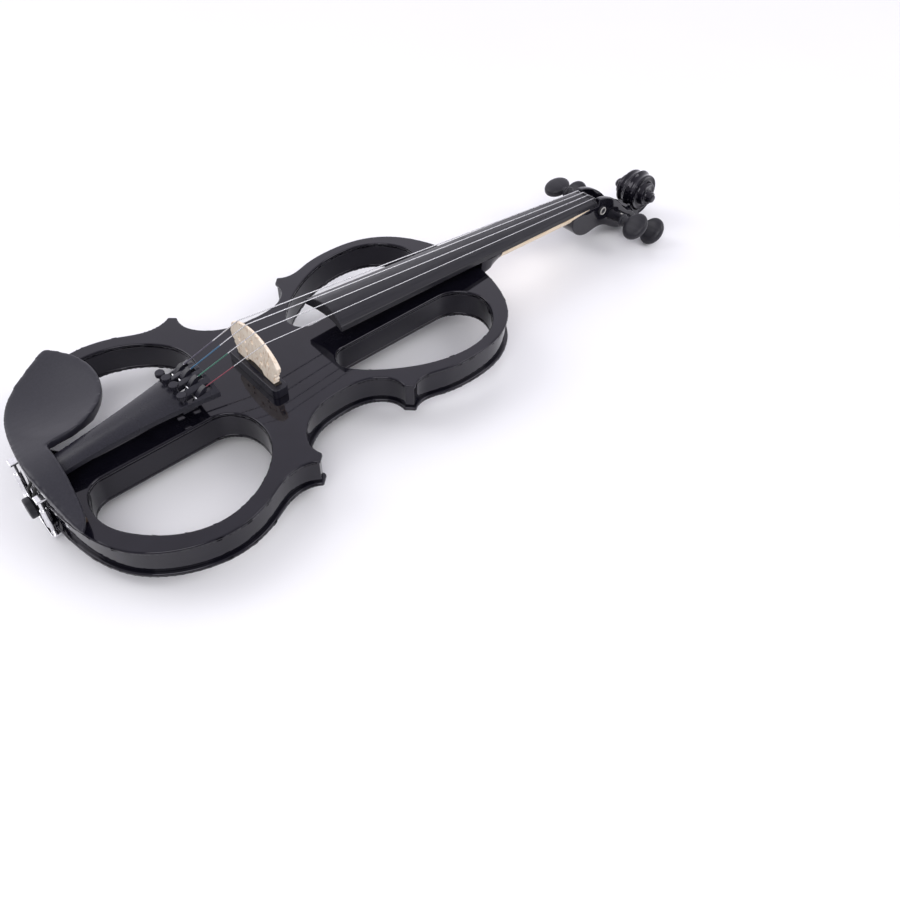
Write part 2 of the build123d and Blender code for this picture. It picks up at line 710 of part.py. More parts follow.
def make_battery_door():
    x0, x1, y0, y1 = BATTERY_POCKET
    door = block(x0 + GAP, x1 - GAP, y0 + 1.4, y1 - GAP, 0.2, 1.7)
    knuckle = rod_x(0.9, x0 + 2.2, x1 - 2.2, DOOR_HINGE_Y + 1.3, 1.1)
    thumb_catch = fillet(block(11, 20, y1 - 6, y1 - 2, -0.6, 0.4).edges().group_by(Axis.Z)[0], 0.3)
    return door + knuckle + thumb_catch


parts = {
    "top_plate": make_top_plate(),
    "body_core": make_body_core(),
    "back_plate": make_back_plate(),
    "neck": make_neck(),
    "head": make_head(),
    "fingerboard": make_fingerboard(),
    "nut": make_nut(),
    "saddle": make_saddle(),
    "end_button": make_end_button(),
    "tailgut": make_tailgut(),
    "tailpiece": make_tailpiece(),
    "tuner_pins": make_tuner_pins(),
    "pickup_base": make_pickup_base(),
    "piezo_strip": make_piezo_strip(),
    "bridge": make_bridge(),
    "chin_rest": make_chin_rest(),
    "chin_rest_corks": make_chin_rest_corks(),
    "clamp_hooks": make_clamp_hooks(),
    "clamp_foot": make_clamp_foot(),
    "foot_corks": make_foot_corks(),
    "output_jack": make_socket(JACK_Y, 5.15, 3.2, -22, 8.0),
    "headphone_jack": make_socket(PHONE_Y, 3.05, 1.8, -36, 4.6),
    "control_plate": make_control_plate(),
    "control_posts": make_control_posts(),
    "control_screws": make_control_screws(),
    "preamp_board": make_preamp_board(),
    "battery": make_battery(),
    "battery_door": make_battery_door(),
}
for string_name in NAMES:
    parts["string_" + string_name] = make_string(string_name)
    parts["peg_" + string_name] = make_peg(string_name)
    parts["winding_" + string_name] = make_winding(string_name)
    parts["peg_eye_" + string_name] = make_peg_eye(string_name)
    parts["tuner_lever_" + string_name] = make_tuner_lever(string_name)
    parts["tuner_screw_" + string_name] = make_tuner_screw(string_name)
for control_name in KNOB_Y:
    parts[control_name + "_pot"] = make_pot(control_name)
    parts[control_name + "_knob"] = make_knob(control_name)
for barrel_end in CLAMP_X:
    parts["clamp_barrel_" + barrel_end] = make_barrel(barrel_end)

# ---- lay the violin down: the clamp's rear edge and the head's back touch the floor ----
clamp_rear_y = CLAMP_Y - CLAMP_HALF
tilt = math.asin((CLAMP_FOOT_LOW_Z - HEAD_LOW_Z) / (HEAD_LOW_Y - clamp_rear_y))
lay_down = Rot(math.degrees(tilt), 0, 0)
box = Compound([lay_down * piece for piece in parts.values()]).bounding_box()
rest_place = Pos(-box.center().X, -box.center().Y, -box.min.Z) * lay_down

os.makedirs("parts", exist_ok=True)
for part_name, piece in parts.items():
    export_step(rest_place * piece, "parts/" + part_name + ".step")
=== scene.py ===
import json
import math

import bmesh
import bpy
from mathutils import Matrix, Vector


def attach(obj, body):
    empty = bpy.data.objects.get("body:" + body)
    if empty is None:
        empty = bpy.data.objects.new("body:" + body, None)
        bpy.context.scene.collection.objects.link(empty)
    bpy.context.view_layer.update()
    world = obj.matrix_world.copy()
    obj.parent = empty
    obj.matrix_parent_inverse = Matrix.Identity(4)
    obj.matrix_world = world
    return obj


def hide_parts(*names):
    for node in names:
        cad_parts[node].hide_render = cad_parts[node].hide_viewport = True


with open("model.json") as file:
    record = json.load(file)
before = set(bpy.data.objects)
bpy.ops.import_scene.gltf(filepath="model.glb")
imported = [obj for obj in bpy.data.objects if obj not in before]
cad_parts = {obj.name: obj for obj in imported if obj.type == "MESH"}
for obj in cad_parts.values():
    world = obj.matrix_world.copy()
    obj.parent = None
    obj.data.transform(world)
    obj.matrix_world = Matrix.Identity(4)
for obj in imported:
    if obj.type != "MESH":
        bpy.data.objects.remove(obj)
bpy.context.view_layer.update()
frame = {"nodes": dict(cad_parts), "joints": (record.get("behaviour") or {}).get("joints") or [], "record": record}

nodes = frame["nodes"]

# The violin lies with its head raised a little. Pieces are drawn in the body's own frame, in millimetres:
# +X treble, +Y from tail to scroll, Z = 0 the back plate's outside. TO_ROW takes them to where the CAD nodes
# lie; the tilt and the place are read off the tone knob's joint, whose place in the body is TONE_KNOB.
MM = 0.001
NAMES = ("g", "d", "a", "e")
joints = {joint["name"]: joint for joint in frame["joints"]}
TONE_KNOB = Vector((-13.0, 184.0, 0.0))
knob_axis = joints["tone_turn"]["axis"]
TILT = math.atan2(knob_axis[1], -knob_axis[2])
LAY_DOWN = Matrix.Rotation(TILT, 4, "X") @ Matrix.Scale(MM, 4)
TO_ROW = Matrix.Translation(Vector(joints["tone_turn"]["pos_m"]) - LAY_DOWN @ TONE_KNOB) @ LAY_DOWN
TO_BODY = TO_ROW.inverted()


# ---------------------------------------------------------------- materials
# Depth of the usual surface relief, in metres.
SKIN = 0.0002


def new_material(name):
    material = bpy.data.materials.new(name)
    material.use_nodes = True
    shader = material.node_tree.nodes["Principled BSDF"]
    return material, material.node_tree, shader


def node(tree, kind, **values):
    """A shader node; each value goes to the input of that name, or else to the node's own setting."""
    made = tree.nodes.new(kind)
    for key, value in values.items():
        if key in made.inputs:
            made.inputs[key].default_value = value
        else:
            setattr(made, key, value)
    return made


def object_coords(tree, scale=(1, 1, 1)):
    """Places in the piece, in metres, stretched by the scale."""
    coords = node(tree, "ShaderNodeTexCoord")
    mapping = node(tree, "ShaderNodeMapping")
    mapping.inputs["Scale"].default_value = scale
    tree.links.new(coords.outputs["Object"], mapping.inputs["Vector"])
    return mapping.outputs["Vector"]


def noise(tree, vector, scale, detail=3.0, rough=0.5):
    made = node(tree, "ShaderNodeTexNoise", Scale=scale, Detail=detail, Roughness=rough)
    tree.links.new(vector, made.inputs["Vector"])
    return made.outputs["Fac"]


def ramp(tree, factor, stops):
    """A colour ramp; each stop is (place, grey or colour)."""
    made = node(tree, "ShaderNodeValToRGB")
    elements = made.color_ramp.elements
    while len(elements) < len(stops):
        elements.new(0.5)
    for element, (place, colour) in zip(elements, stops):
        element.position = place
        element.color = (colour,) * 3 + (1,) if isinstance(colour, (int, float)) else (*colour, 1)
    tree.links.new(factor, made.inputs["Fac"])
    return made.outputs["Color"]


def bump(tree, shader, height, strength, distance):
    """Relief on the shader's normal; the distance is in metres."""
    made = node(tree, "ShaderNodeBump", Strength=strength, Distance=distance)
    tree.links.new(height, made.inputs["Height"])
    tree.links.new(made.outputs["Normal"], shader.inputs["Normal"])
    return made


def lacquer():
    """Black gloss lacquer: deep clear coat, faint ripple and a little dust."""
    material, tree, shader = new_material("lacquer")
    vector = object_coords(tree)
    black = [(0.3, (0.0032, 0.003, 0.0055)), (0.7, (0.0055, 0.0052, 0.009))]
    tree.links.new(ramp(tree, noise(tree, vector, 60, 4), black), shader.inputs["Base Color"])
    haze = ramp(tree, noise(tree, vector, 900, 2), [(0.45, 0.05), (0.75, 0.12)])
    tree.links.new(haze, shader.inputs["Roughness"])
    shader.inputs["Specular IOR Level"].default_value = 0.3
    shader.inputs["Specular Tint"].default_value = (0.92, 0.88, 1.0, 1)
    shader.inputs["Coat Weight"].default_value = 0.25
    shader.inputs["Coat Roughness"].default_value = 0.03
    bump(tree, shader, noise(tree, vector, 90, 2), 0.02, SKIN)
    return material


def satin_black(name, low, high, rough_low, rough_high, grain, scale, strength):
    """A satin black surface with fine grain stretched along one way."""
    material, tree, shader = new_material(name)
    vector = object_coords(tree, grain)
    fine = noise(tree, vector, scale, 5, 0.6)
    tree.links.new(ramp(tree, fine, [(0.3, low), (0.75, high)]), shader.inputs["Base Color"])
    broad = noise(tree, object_coords(tree), 45, 3)
    tree.links.new(ramp(tree, broad, [(0.3, rough_low), (0.7, rough_high)]), shader.inputs["Roughness"])
    shader.inputs["Specular IOR Level"].default_value = 0.32
    bump(tree, shader, fine, strength, SKIN)
    return material


def maple(name, pale, dark, fleck, grain, rough):
    """Bare maple: long grain, soft figure and short flecks."""
    material, tree, shader = new_material(name)
    long_grain = noise(tree, object_coords(tree, grain), 420, 5, 0.62)
    colour = ramp(tree, long_grain, [(0.25, dark), (0.6, pale)])
    flecks = noise(tree, object_coords(tree, fleck), 900, 2, 0.4)
    mask = ramp(tree, flecks, [(0.58, 0.0), (0.68, 1.0)])
    blend = node(tree, "ShaderNodeMix", data_type="RGBA")
    tree.links.new(mask, blend.inputs["Factor"])
    tree.links.new(colour, blend.inputs["A"])
    blend.inputs["B"].default_value = (dark[0] * 0.82, dark[1] * 0.74, dark[2] * 0.66, 1)
    tree.links.new(blend.outputs["Result"], shader.inputs["Base Color"])
    tree.links.new(ramp(tree, flecks, [(0.3, rough), (0.8, rough + 0.15)]), shader.inputs["Roughness"])
    bump(tree, shader, long_grain, 0.2, SKIN)
    return material


def metal(name, colour, rough_low, rough_high):
    """Plain metal with a faint change of tone and polish."""
    material, tree, shader = new_material(name)
    vector = object_coords(tree)
    tone = noise(tree, vector, 500, 3)
    darker = tuple(channel * 0.82 for channel in colour)
    tree.links.new(ramp(tree, tone, [(0.3, darker), (0.7, colour)]), shader.inputs["Base Color"])
    tree.links.new(ramp(tree, tone, [(0.3, rough_low), (0.7, rough_high)]), shader.inputs["Roughness"])
    shader.inputs["Metallic"].default_value = 1.0
    bump(tree, shader, tone, 0.08, SKIN / 2)
    return material


def wound_steel(name, colour):
    """Wire wound round a core: fine ridges across the string, with painted shade that darkens the grooves between
    them.
    """
    material, tree, shader = new_material(name)
    vector = object_coords(tree)
    wave = node(tree, "ShaderNodeTexWave", bands_direction="Y", Scale=250.0, Distortion=0.0)
    tree.links.new(vector, wave.inputs["Vector"])
    darker = tuple(channel * 0.6 for channel in colour)
    # painted shade: the colour darkens in the grooves between the turns, where the bump is low
    tone = ramp(tree, wave.outputs["Fac"], [(0.1, darker), (0.7, colour)])
    tree.links.new(tone, shader.inputs["Base Color"])
    rough = ramp(tree, noise(tree, vector, 200), [(0.3, 0.22), (0.7, 0.36)])
    tree.links.new(rough, shader.inputs["Roughness"])
    shader.inputs["Metallic"].default_value = 1.0
    bump(tree, shader, wave.outputs["Fac"], 0.3, SKIN / 2)
    return material


def silk(name, colour):
    """Coloured silk thread wound over a string's tail end, with painted shade darkening the grooves between its
    turns.
    """
    material, tree, shader = new_material(name)
    vector = object_coords(tree)
    wave = node(tree, "ShaderNodeTexWave", bands_direction="Y", Scale=420.0, Distortion=0.6)
    tree.links.new(vector, wave.inputs["Vector"])
    dark = tuple(channel * 0.35 for channel in colour)
    # painted shade: the colour falls to a third in the grooves between the turns, where the bump is low
    tone = ramp(tree, wave.outputs["Fac"], [(0.15, dark), (0.8, colour)])
    tree.links.new(tone, shader.inputs["Base Color"])
    rough = ramp(tree, noise(tree, vector, 800), [(0.3, 0.45), (0.7, 0.7)])
    tree.links.new(rough, shader.inputs["Roughness"])
    shader.inputs["Sheen Weight"].default_value = 0.4
    bump(tree, shader, wave.outputs["Fac"], 0.5, SKIN)
    return material


def speckled(name, low, high, rough, scale=700):
    """Cork, pearl, board and other small mottled pieces."""
    material, tree, shader = new_material(name)
    spots = noise(tree, object_coords(tree), scale, 4, 0.6)
    tree.links.new(ramp(tree, spots, [(0.35, low), (0.65, high)]), shader.inputs["Base Color"])
    tree.links.new(ramp(tree, spots, [(0.3, rough), (0.8, rough + 0.12)]), shader.inputs["Roughness"])
    bump(tree, shader, spots, 0.2, SKIN)
    return material


LACQUER = lacquer()
EVEN = (1, 1, 1)
EBONY = satin_black(
    "ebony_board", (0.008, 0.008, 0.012), (0.018, 0.017, 0.022), 0.26, 0.4, (1, 0.04, 1), 500, 0.12,
)
PEG_WOOD = satin_black(
    "peg_wood", (0.012, 0.012, 0.016), (0.024, 0.023, 0.03), 0.34, 0.48, (0.1, 1, 1), 500, 0.15,
)
CHIN_BLACK = satin_black(
    "chin_black", (0.015, 0.0145, 0.021), (0.022, 0.0215, 0.03), 0.3, 0.4, EVEN, 700, 0.06,
)
COMPOSITE = satin_black(
    "composite", (0.011, 0.0108, 0.016), (0.019, 0.0185, 0.027), 0.2, 0.3, EVEN, 900, 0.08,
)
CONTROL = satin_black("control", (0.015, 0.015, 0.016), (0.03, 0.03, 0.031), 0.45, 0.6, EVEN, 1500, 0.3)
CORD = satin_black("cord", (0.01, 0.01, 0.01), (0.03, 0.03, 0.03), 0.4, 0.55, EVEN, 1500, 0.3)
NECK = maple("neck_maple", (0.86, 0.72, 0.54), (0.72, 0.56, 0.38), (1, 0.05, 1), (1, 0.03, 1), 0.36)
BRIDGE = maple("bridge_maple", (0.90, 0.80, 0.67), (0.80, 0.67, 0.53), (0.6, 1, 0.25), (1, 0.3, 0.35), 0.5)
STEEL = wound_steel("string_steel", (0.78, 0.78, 0.80))
CHROME = metal("chrome", (0.9, 0.9, 0.92), 0.05, 0.12)
SCREW = metal("screw", (0.62, 0.62, 0.64), 0.2, 0.34)
POT = metal("pot", (0.6, 0.6, 0.6), 0.3, 0.45)
PIEZO = satin_black("piezo", (0.012, 0.01, 0.009), (0.04, 0.032, 0.026), 0.35, 0.5, EVEN, 900, 0.1)
CORK = speckled("cork", (0.045, 0.03, 0.02), (0.11, 0.075, 0.05), 0.75)
PEARL = speckled("pearl", (0.34, 0.33, 0.31), (0.52, 0.51, 0.48), 0.2, 300)
BOARD = speckled("board", (0.015, 0.12, 0.05), (0.03, 0.22, 0.09), 0.4)
CELL = speckled("cell", (0.02, 0.02, 0.024), (0.05, 0.05, 0.056), 0.3, 200)

BY_SLOT = {
    "black_lacquer": LACQUER,
    "maple_neck": NECK,
    "bridge_maple": BRIDGE,
    "black_fingerboard": EBONY,
    "black_peg": PEG_WOOD,
    "chin_rest_black": CHIN_BLACK,
    "black_composite": COMPOSITE,
    "string_steel": STEEL,
    "chrome_clamp": CHROME,
    "cork": CORK,
    "pearl": PEARL,
    "black_cord": CORD,
    "piezo": PIEZO,
    "circuit_board": BOARD,
    "battery_can": CELL,
    "screw_steel": SCREW,
    "pot_metal": POT,
    "control_black": CONTROL,
}
slot_of = {entry["node"]: entry["material_slot"] for entry in frame["record"]["subparts"]}
for node_name, cad_node in nodes.items():
    cad_node.data.materials.clear()
    cad_node.data.materials.append(BY_SLOT[slot_of[node_name]])

body_of = {name: body for body, names in frame["record"]["behaviour"]["bodies"].items() for name in names}


# ---------------------------------------------------------------- pieces
def mix(a, b, t):
    return a + (b - a) * t


def within(value, low=0.0, high=1.0):
    return min(high, max(low, value))


def smooth(mesh):
    mesh.polygons.foreach_set("use_smooth", [True] * len(mesh.polygons))
    mesh.update()


def settle(piece, body, slot_name, material, *stands_for):
    """Give a finished piece its material and body, and hide the CAD nodes that it stands for. The slot name is not
    used.
    """
    piece.data.materials.clear()
    piece.data.materials.append(material)
    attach(piece, body)
    if stands_for:
        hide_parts(*stands_for)


WELD = 1e-6
FLAT = math.radians(0.4)
SHARP = math.radians(32.0)


def soft_copy(node_name, ending, width, edit=None):
    """A copy of a CAD node, edited if asked, with its sharp edges rounded. Width is in millimetres."""
    build = bmesh.new()
    build.from_mesh(nodes[node_name].data)
    bmesh.ops.remove_doubles(build, verts=build.verts, dist=WELD)
    if edit:
        edit(build)
    bmesh.ops.dissolve_limit(build, angle_limit=FLAT, verts=build.verts, edges=build.edges)
    bmesh.ops.recalc_face_normals(build, faces=build.faces)
    mesh = bpy.data.meshes.new(node_name + ending)
    build.to_mesh(mesh)
    build.free()
    smooth(mesh)
    piece = bpy.data.objects.new(node_name + ending, mesh)
    bpy.context.collection.objects.link(piece)
    bevel = piece.modifiers.new("soft_edges", "BEVEL")
    bevel.width = width * MM
    bevel.segments = 3
    bevel.limit_method = "ANGLE"
    bevel.angle_limit = SHARP
    bevel.use_clamp_overlap = False
    level = piece.modifiers.new("face_normals", "WEIGHTED_NORMAL")
    level.mode = "FACE_AREA"
    level.weight = 80
    return piece


def soften(node_name, width, edit=None):
    """Stand a copy with rounded edges in for a CAD node."""
    piece = soft_copy(node_name, "_finish", width, edit)
    settle(piece, body_of[node_name], slot_of[node_name], BY_SLOT[slot_of[node_name]], node_name)


def mesh_piece(name, points, faces):
    """A smooth piece from points in the body's frame, in millimetres."""
    mesh = bpy.data.meshes.new(name)
    mesh.from_pydata([TO_ROW @ Vector(point) for point in points], [], faces)
    build = bmesh.new()
    build.from_mesh(mesh)
    bmesh.ops.remove_doubles(build, verts=build.verts, dist=WELD)
    bmesh.ops.recalc_face_normals(build, faces=build.faces)
    build.to_mesh(mesh)
    build.free()
    smooth(mesh)
    piece = bpy.data.objects.new(name, mesh)
    bpy.context.collection.objects.link(piece)
    return piece


def grid_faces(rows, columns, wrap=False):
    """Four-sided faces over a grid of points; with wrap the last column joins the first."""
    faces = []
    for i in range(rows - 1):
        for j in range(columns if wrap else columns - 1):
            k = (j + 1) % columns
            faces.append((i * columns + j, i * columns + k, (i + 1) * columns + k, (i + 1) * columns + j))
    return faces


def turned(profile, centre, axis, sides=40):
    """Points and faces of a turned form. The profile lists (along, radius) about an axis through centre."""
    axis = Vector(axis).normalized()
    across = axis.orthogonal().normalized()
    third = axis.cross(across)
    points = []
    for along, radius in profile:
        for i in range(sides):
            angle = 2 * math.pi * i / sides
            ring = math.cos(angle) * across + math.sin(angle) * third
            points.append(Vector(centre) + along * axis + radius * ring)
    return points, grid_faces(len(profile), sides, wrap=True)


def joined(*forms):
    """Several (points, faces) forms as one."""
    points = []
    faces = []
    for form_points, form_faces in forms:
        faces += [tuple(index + len(points) for index in face) for face in form_faces]
        points += form_points
    return points, faces


# ---------------------------------------------------------------- the scroll
# A turn is an angle in radians, counted from SCROLL_START round the eye. EYE is that eye's (Y, Z).
EYE = (554.0, 3.0)
OUTER_R = 21.7
EYE_R = 3.3
TURN_END = 16.3
FULL_TURN = 2 * math.pi
SCROLL_START = math.radians(-100)
BACK_END = math.radians(350)
WIND = 0.06
TIGHTEN = 0.01164
TIGHTEN_FROM = 4.0
TIGHTEN_POWER = 1.695
OUTER_HALF = 8.0
EYE_HALF = 18.8
EDGE_DROP = 2.2
EDGE_JOINED = 9.0
FLUTE_DEEP = 1.6
FLUTE_EDGE = 0.84
CHANNEL_DEEP = 0.9
WALL_FROM = 0.80
WALL_WIDE = 0.12


def scroll_reach(turn):
    """Distance of the volute's edge from the eye after it has turned so far, in radians."""
    tighten = TIGHTEN * max(0.0, turn - TIGHTEN_FROM) ** TIGHTEN_POWER
    return max(EYE_R, OUTER_R * math.exp(-WIND * turn - tighten))


def scroll_half(turn):
    """How far the volute's edge stands out from the middle of the head."""
    rise = within((turn - math.pi) / (TURN_END - math.pi))
    return OUTER_HALF + (EYE_HALF - OUTER_HALF) * rise ** 1.15


def edge_reach(turn):
    """The volute's rim lies lower than the ridge in the middle of the turn, and joins it near the eye."""
    fade = within((EDGE_JOINED - turn) / 3.0)
    return max(EYE_R, scroll_reach(turn) - EDGE_DROP * fade)


def around_eye(x, reach, turn):
    angle = SCROLL_START + turn
    return x, EYE[0] + reach * math.cos(angle), EYE[1] + reach * math.sin(angle)


def volute(side):
    """One cheek of the scroll: a channel that climbs from the outer edge to the eye in one winding strip."""
    across = (0.0, 0.05, 0.10, 0.18, 0.30, 0.45, 0.60, 0.72, 0.80, 0.85, 0.89, 0.93, 0.97, 1.0)
    steps = 260
    points = []
    for i in range(steps + 1):
        turn = TURN_END * i / steps
        outer, inner = edge_reach(turn), edge_reach(turn + FULL_TURN)
        low, high = scroll_half(turn), scroll_half(turn + FULL_TURN)
        for v in across:
            dip = CHANNEL_DEEP * math.sin(math.pi * within((v - 0.10) / 0.72)) ** 0.8
            wall = within((v - WALL_FROM) / WALL_WIDE)
            x = low - dip * min(1.0, (outer - inner) / 4.0) + (high - low) * wall * wall * (3 - 2 * wall)
            points.append(around_eye(side * x, mix(outer, inner, v), turn))
    return points, grid_faces(steps + 1, len(across))


def scroll_back():
    """The outside of the outer turn: a central ridge between two flutes, with a band at each edge."""
    across = 25
    steps = 110
    points = []
    for i in range(steps + 1):
        turn = BACK_END * i / steps
        half = scroll_half(turn)
        for j in range(across):
            place = -1 + 2 * j / (across - 1)
            away = abs(place)
            flute = 0.0 if away > FLUTE_EDGE else FLUTE_DEEP * math.sin(math.pi * away / FLUTE_EDGE) ** 1.2
            reach = mix(scroll_reach(turn), edge_reach(turn), away ** 1.5) - flute
            points.append(around_eye(place * half, reach, turn))
    return points, grid_faces(steps + 1, across)


def make_scroll():
    """Two cheeks, the back of the turn and a domed button at each eye, as one piece."""
    eyes = []
    dome = [(0.0, EYE_R), (0.5, EYE_R), (0.85, EYE_R - 0.35), (1.05, EYE_R - 1.0), (1.1, 1.0), (1.1, 0.001)]
    for side in (-1, 1):
        eyes.append(turned(dome, (side * EYE_HALF, *EYE), (side, 0, 0)))
    points, faces = joined(volute(-1), volute(1), scroll_back(), *eyes)
    piece = mesh_piece("scroll_volutes", points, faces)
    settle(piece, "violin", "black_lacquer", LACQUER)


DISC_R = 15.3
TURN_INNER = 13.0
TURN_OUTER = 22.5
TURN_HALF_INSIDE = 6.6
TURN_SHRINK = 0.76
NECK_SIDE_Y = 553.0
NECK_SIDE_Z = -5.0


def eye_distance(vertex):
    place = TO_BODY @ vertex.co
    return math.hypot(place.y - EYE[0], place.z - EYE[1])


def hollow_scroll(build):
    """Take the plain discs off the head and draw the CAD turn inside the carved one."""
    spare = []
    for face in build.faces:
        if all(eye_distance(vertex) < DISC_R for vertex in face.verts):
            spare.append(face)
    bmesh.ops.delete(build, geom=spare, context="FACES")
    for vertex in build.verts:
        place = TO_BODY @ vertex.co
        on_turn = abs(place.x) <= OUTER_HALF + 0.05 and TURN_INNER < eye_distance(vertex) < TURN_OUTER
        if on_turn and (place.z > NECK_SIDE_Z or place.y > NECK_SIDE_Y):
            place.x = within(place.x, -TURN_HALF_INSIDE, TURN_HALF_INSIDE)
            place.y = EYE[0] + TURN_SHRINK * (place.y - EYE[0])
            place.z = EYE[1] + TURN_SHRINK * (place.z - EYE[1])
            vertex.co = TO_ROW @ place


# ---------------------------------------------------------------- pegs
# How far each peg is turned, in degrees; the half sizes of its oval head; and the head's place along the peg.
PEG_TURN = {"g": 10.0, "e": 40.0, "d": 43.0, "a": 48.0}
THUMB = Vector((9.6, 11.65, 5.4))
THUMB_X = 38.5
DISH_R = 0.94
RIM_HALF = 0.4


def thumb_piece(side, centre, turn):
    """The flat oval that the fingers turn, dished on both faces with a rounded band round its rim."""
    rings = 30
    sides = 64
    roll = Matrix.Rotation(math.radians(turn), 3, "X")
    points = []
    for i in range(rings + 1):
        fall = math.pi * i / rings
        spread = math.sin(fall)
        dish = max(0.0, 1 - (spread / DISH_R) ** 2)
        lift = math.copysign(abs(math.cos(fall)) ** 0.8, math.cos(fall))
        for j in range(sides):
            angle = 2 * math.pi * j / sides
            flat = Vector((
                THUMB.x * spread * math.cos(angle),
                THUMB.y * spread * math.sin(angle),
                lift * max(RIM_HALF, THUMB.z - dish),
            ))
            points.append(Vector(centre) + side * Vector((THUMB_X, 0, 0)) + roll @ flat)
    return points, grid_faces(rings + 1, sides, wrap=True)


def make_peg(name):
    """A turned shank with an oval head, and a pearl ring round a dark dot on its far end."""
    side = -1 if name in ("g", "d") else 1
    centre = TO_BODY @ Vector(joints["peg_" + name + "_turn"]["pos_m"])
    shank = [
        (-13.2, 0.001), (-13.2, 3.3), (-12.9, 3.7), (13.0, 3.7), (23.2, 3.7), (23.6, 4.4),
        (24.0, 5.0), (24.5, 5.35), (25.6, 5.4), (26.1, 5.0), (26.3, 4.4), (26.7, 4.3),
        (27.0, 4.6), (27.6, 4.6), (28.0, 4.1), (29.0, 3.5), (31.5, 3.5),
    ]
    forms = joined(turned(shank, centre, (side, 0, 0)), thumb_piece(side, centre, PEG_TURN[name]))
    piece = mesh_piece("peg_" + name + "_finish", *forms)
    settle(piece, "peg_" + name, "black_peg", PEG_WOOD, "peg_" + name)
    ring = [(13.1, 3.3), (13.7, 3.3), (13.95, 3.1), (14.0, 2.8), (13.85, 2.5), (13.3, 2.4)]
    dot = [(13.2, 2.45), (13.6, 2.4), (13.8, 1.8), (13.9, 0.9), (13.9, 0.001)]
    band = mesh_piece("peg_eye_" + name + "_ring", *turned(ring, centre, (-side, 0, 0)))
    settle(band, "peg_" + name, "pearl", PEARL, "peg_eye_" + name)
    middle = mesh_piece("peg_eye_" + name + "_dot", *turned(dot, centre, (-side, 0, 0)))
    settle(middle, "peg_" + name, "black_peg", PEG_WOOD)


# ---------------------------------------------------------------- silk on the strings' tail ends
# For each string: its silk, the place along the body where that ends, and its radius.
SILK = {
    "g": (silk("silk_g", (0.07, 0.06, 0.10)), 139.6, 0.50),
    "d": (silk("silk_d", (0.02, 0.13, 0.26)), 139.5, 0.46),
    "a": (silk("silk_a", (0.02, 0.17, 0.11)), 139.0, 0.42),
    "e": (silk("silk_e", (0.24, 0.015, 0.045)), 136.5, 0.36),
}
# The strings at the tail and on the bridge: spacing, place along the body, and the arch that they lie on.
TAIL_GAP = 9.2
TAIL_Y = 115.4
TAIL_TOP = 47.9
TAIL_ARCH_R = 40.0
BRIDGE_GAP = 10.6
BRIDGE_Y = 160.0
BRIDGE_TOP = 59.6
BRIDGE_ARCH_R = 42.0


def on_arch(across, along, top, radius):
    return Vector((across, along, top - radius + math.sqrt(radius ** 2 - across ** 2)))


def make_silk(name):
    """A coloured sleeve round the string from its tuner towards the bridge, tapered at both ends."""
    material, end_y, radius = SILK[name]
    lane = NAMES.index(name) - 1.5
    start = on_arch(lane * TAIL_GAP, TAIL_Y, TAIL_TOP, TAIL_ARCH_R)
    bridge = on_arch(lane * BRIDGE_GAP, BRIDGE_Y, BRIDGE_TOP, BRIDGE_ARCH_R)
    way = (bridge - start).normalized()
    length = (end_y - start.y) / way.y
    rows = [(0.0, 0.3), (0.4, radius), (length - 1.2, radius), (length - 0.4, 0.8 * radius), (length, 0.3)]
    cuts = 8
    profile = []
    for (a, radius_a), (b, radius_b) in zip(rows, rows[1:]):
        profile += [(mix(a, b, k / cuts), mix(radius_a, radius_b, k / cuts)) for k in range(cuts)]
    profile.append(rows[-1])
    piece = mesh_piece("silk_" + name, *turned(profile, start, way, sides=16))
    settle(piece, "violin", "string_steel", material)


# ---------------------------------------------------------------- chin rest
CUP = Vector((-58.0, 38.0))
CUP_HALF = Vector((44.0, 33.0))
CUP_SINK = 2.3
REST_TIP = Vector((-104.5, 56.0))
TIP_REACH = 6.0
TIP_PULL = 1.6


def make_chin_rest():
    """The CAD plate with a bowl sunk in its cup, a rounded tip and all its edges eased."""
    name = "chin_rest"
    source = bpy.data.objects.new("rest_source", nodes[name].data.copy())
    bpy.context.collection.objects.link(source)
    voxels = source.modifiers.new("voxels", "REMESH")
    voxels.mode = "VOXEL"
    voxels.voxel_size = 1.1 * MM
    graph = bpy.context.evaluated_depsgraph_get()
    mesh = bpy.data.meshes.new_from_object(source.evaluated_get(graph))
    bpy.data.objects.remove(source)
    up = (TO_ROW.to_3x3() @ Vector((0, 0, 1))).normalized()
    for vertex in mesh.vertices:
        place = TO_BODY @ vertex.co
        out = Vector(((place.x - CUP.x) / CUP_HALF.x, (place.y - CUP.y) / CUP_HALF.y)).length
        if vertex.normal.dot(up) > 0.5 and out < 1:
            place.z -= CUP_SINK * (1 - out * out) ** 1.3
        near_tip = max(0.0, 1 - (place.xy - REST_TIP).length / TIP_REACH)
        pull = (CUP - REST_TIP).normalized() * TIP_PULL * near_tip ** 2
        vertex.co = TO_ROW @ (place + Vector((pull.x, pull.y, 0)))
    mesh.name = name + "_finish"
    piece = bpy.data.objects.new(name + "_finish", mesh)
    bpy.context.collection.objects.link(piece)
    smooth(mesh)
    ease = piece.modifiers.new("eased_edges", "SMOOTH")
    ease.factor = 0.5
    ease.iterations = 7
    settle(piece, body_of[name], slot_of[name], CHIN_BLACK, name)


# ---------------------------------------------------------------- the battery
CELL_UNDERSIDE = 2.6
CELL_ROOM = 0.25


def lift_cell(build):
    """Leave a hair of room between the battery and the knuckle of its door."""
    for vertex in build.verts:
        place = TO_BODY @ vertex.co
        if place.z < CELL_UNDERSIDE:
            place.z += CELL_ROOM
            vertex.co = TO_ROW @ place


